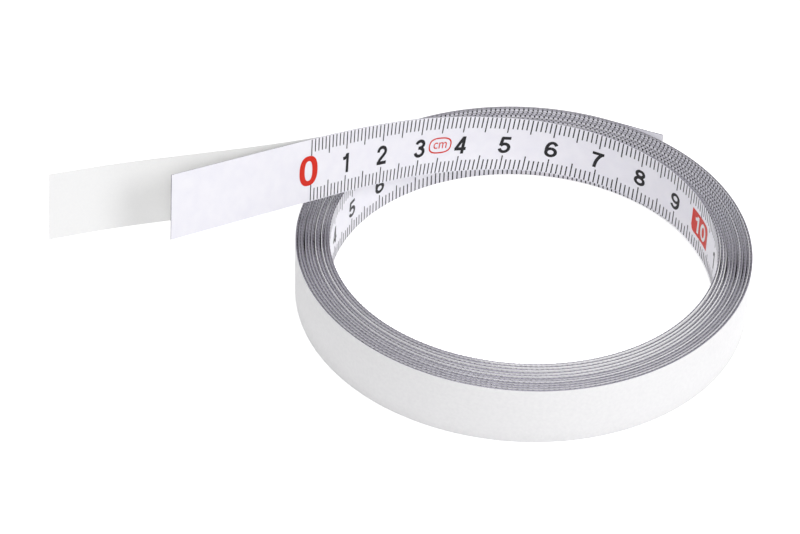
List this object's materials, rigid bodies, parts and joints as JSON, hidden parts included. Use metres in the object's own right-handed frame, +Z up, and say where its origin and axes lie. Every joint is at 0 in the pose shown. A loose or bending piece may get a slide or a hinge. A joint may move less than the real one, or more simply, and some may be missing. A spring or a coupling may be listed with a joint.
{
  "type": "adhesive measuring tape",
  "caption": "Caseless self-adhesive steel measuring tape with a printed centimetre scale, wound in a flat coil with its zero end lifted out and its release liner peeled back.",
  "frame": {"origin": "centre of the coil, on the surface that it lies on", "axes": "+Z up along the coil's axis, +X to the right and +Y away, with the zero end and the peeled liner out towards -X"},
  "size_m": [0.1375, 0.0918, 0.0412],
  "materials": {
    "enamelled_steel": "satin white enamel with a printed scale",
    "adhesive": "tacky acrylic film",
    "release_liner": "smooth siliconised paper"
  },
  "bodies": {
    "coil": {"blade_coil": "enamelled_steel", "adhesive_coil": "adhesive", "liner_coil": "release_liner"},
    "lead_1": {"blade_lead_1": "enamelled_steel", "adhesive_lead_1": "adhesive", "liner_lead_1": "release_liner"},
    "lead_2": {"blade_lead_2": "enamelled_steel", "adhesive_lead_2": "adhesive", "liner_lead_2": "release_liner"},
    "lead_3": {"blade_lead_3": "enamelled_steel", "adhesive_lead_3": "adhesive", "liner_lead_3": "release_liner"},
    "lead_4": {"blade_lead_4": "enamelled_steel", "adhesive_lead_4": "adhesive", "liner_lead_4": "release_liner"},
    "lead_5": {"blade_lead_5": "enamelled_steel", "adhesive_lead_5": "adhesive", "liner_lead_5": "release_liner"},
    "lead_6": {"blade_lead_6": "enamelled_steel", "adhesive_lead_6": "adhesive", "liner_lead_6": "release_liner"},
    "lead_7": {"blade_lead_7": "enamelled_steel", "adhesive_lead_7": "adhesive", "liner_lead_7": "release_liner"},
    "lead_8": {"blade_lead_8": "enamelled_steel", "adhesive_lead_8": "adhesive"},
    "lead_9": {"blade_lead_9": "enamelled_steel", "adhesive_lead_9": "adhesive"},
    "lead_10": {"blade_lead_10": "enamelled_steel", "adhesive_lead_10": "adhesive"},
    "tail_1": {"liner_tail_1": "release_liner"},
    "tail_2": {"liner_tail_2": "release_liner"},
    "tail_3": {"liner_tail_3": "release_liner"},
    "tail_4": {"liner_tail_4": "release_liner"},
    "outer_end": {"blade_end": "enamelled_steel", "adhesive_end": "adhesive", "liner_end": "release_liner"}
  },
  "joints": [
    {"name": "lead_hinge_1", "type": "hinge", "parent": "coil", "child": "lead_1", "pos_m": [0.03657, 0.01297, 0.0074], "axis": [0.0149, -0.0424, 0.999], "range_deg": [-0.4, 6], "stiffness_Nm_per_rad": 0.19},
    {"name": "lead_hinge_2", "type": "hinge", "parent": "lead_1", "child": "lead_2", "pos_m": [0.02938, 0.02472, 0.00801], "axis": [0.0484, -0.0724, 0.9962], "range_deg": [-0.4, 6]},
    {"name": "lead_hinge_3", "type": "hinge", "parent": "lead_2", "child": "lead_3", "pos_m": [0.01801, 0.03246, 0.00912], "axis": [0.1058, -0.0502, 0.9931], "range_deg": [-0.4, 6]},
    {"name": "lead_hinge_4", "type": "hinge", "parent": "lead_3", "child": "lead_4", "pos_m": [0.00453, 0.03505, 0.01069], "axis": [0.1496, 0.0488, 0.9875], "range_deg": [-0.4, 6]},
    {"name": "lead_hinge_5", "type": "hinge", "parent": "lead_4", "child": "lead_5", "pos_m": [-0.00894, 0.03271, 0.01284], "axis": [0.1456, 0.1894, 0.971], "range_deg": [-0.4, 6]},
    {"name": "lead_hinge_6", "type": "hinge", "parent": "lead_5", "child": "lead_6", "pos_m": [-0.02109, 0.02674, 0.01583], "axis": [0.0747, 0.2906, 0.9539], "range_deg": [-0.4, 6]},
    {"name": "lead_hinge_7", "type": "hinge", "parent": "lead_6", "child": "lead_7", "pos_m": [-0.03179, 0.01854, 0.01917], "axis": [0.0219, 0.3437, 0.9388], "range_deg": [-0.4, 6]},
    {"name": "lead_hinge_8", "type": "hinge", "parent": "lead_7", "child": "lead_8", "pos_m": [-0.04146, 0.00924, 0.0228], "axis": [0.0053, 0.3579, 0.9338], "range_deg": [-2, 12], "stiffness_Nm_per_rad": 0.02},
    {"name": "lead_hinge_9", "type": "hinge", "parent": "lead_8", "child": "lead_9", "pos_m": [-0.05068, -0.00046, 0.02657], "axis": [0.0053, 0.3579, 0.9338], "range_deg": [-2, 12]},
    {"name": "lead_hinge_10", "type": "hinge", "parent": "lead_9", "child": "lead_10", "pos_m": [-0.0598, -0.01023, 0.03036], "axis": [0.0053, 0.3579, 0.9338], "range_deg": [-2, 12]},
    {"name": "tail_hinge_1", "type": "hinge", "parent": "lead_7", "child": "tail_1", "pos_m": [-0.04146, 0.00924, 0.0228], "axis": [-0.0053, -0.3579, -0.9338], "range_deg": [-2, 10], "stiffness_Nm_per_rad": 0.002},
    {"name": "tail_hinge_2", "type": "hinge", "parent": "tail_1", "child": "tail_2", "pos_m": [-0.05383, 0.00094, 0.02605], "axis": [-0.0053, -0.3579, -0.9338], "range_deg": [-2, 10]},
    {"name": "tail_hinge_3", "type": "hinge", "parent": "tail_2", "child": "tail_3", "pos_m": [-0.06684, -0.00645, 0.02895], "axis": [-0.0053, -0.3579, -0.9338], "range_deg": [-2, 10]},
    {"name": "tail_hinge_4", "type": "hinge", "parent": "tail_3", "child": "tail_4", "pos_m": [-0.07979, -0.01394, 0.0319], "axis": [-0.0053, -0.3579, -0.9338], "range_deg": [-2, 10]},
    {"name": "outer_end_hinge", "type": "hinge", "parent": "coil", "child": "outer_end", "pos_m": [0.01989, 0.04137, 0.0065], "axis": [0, 0, 1], "range_deg": [-8, 45], "stiffness_Nm_per_rad": 0.0003}
  ],
  "couplings": [
    {"joint": "lead_hinge_2", "follows": "lead_hinge_1", "ratio": 1},
    {"joint": "lead_hinge_3", "follows": "lead_hinge_1", "ratio": 1},
    {"joint": "lead_hinge_4", "follows": "lead_hinge_1", "ratio": 1},
    {"joint": "lead_hinge_5", "follows": "lead_hinge_1", "ratio": 1},
    {"joint": "lead_hinge_6", "follows": "lead_hinge_1", "ratio": 1},
    {"joint": "lead_hinge_7", "follows": "lead_hinge_1", "ratio": 1},
    {"joint": "lead_hinge_9", "follows": "lead_hinge_8", "ratio": 1},
    {"joint": "lead_hinge_10", "follows": "lead_hinge_8", "ratio": 1},
    {"joint": "tail_hinge_2", "follows": "tail_hinge_1", "ratio": 1},
    {"joint": "tail_hinge_3", "follows": "tail_hinge_1", "ratio": 1},
    {"joint": "tail_hinge_4", "follows": "tail_hinge_1", "ratio": 1}
  ]
}
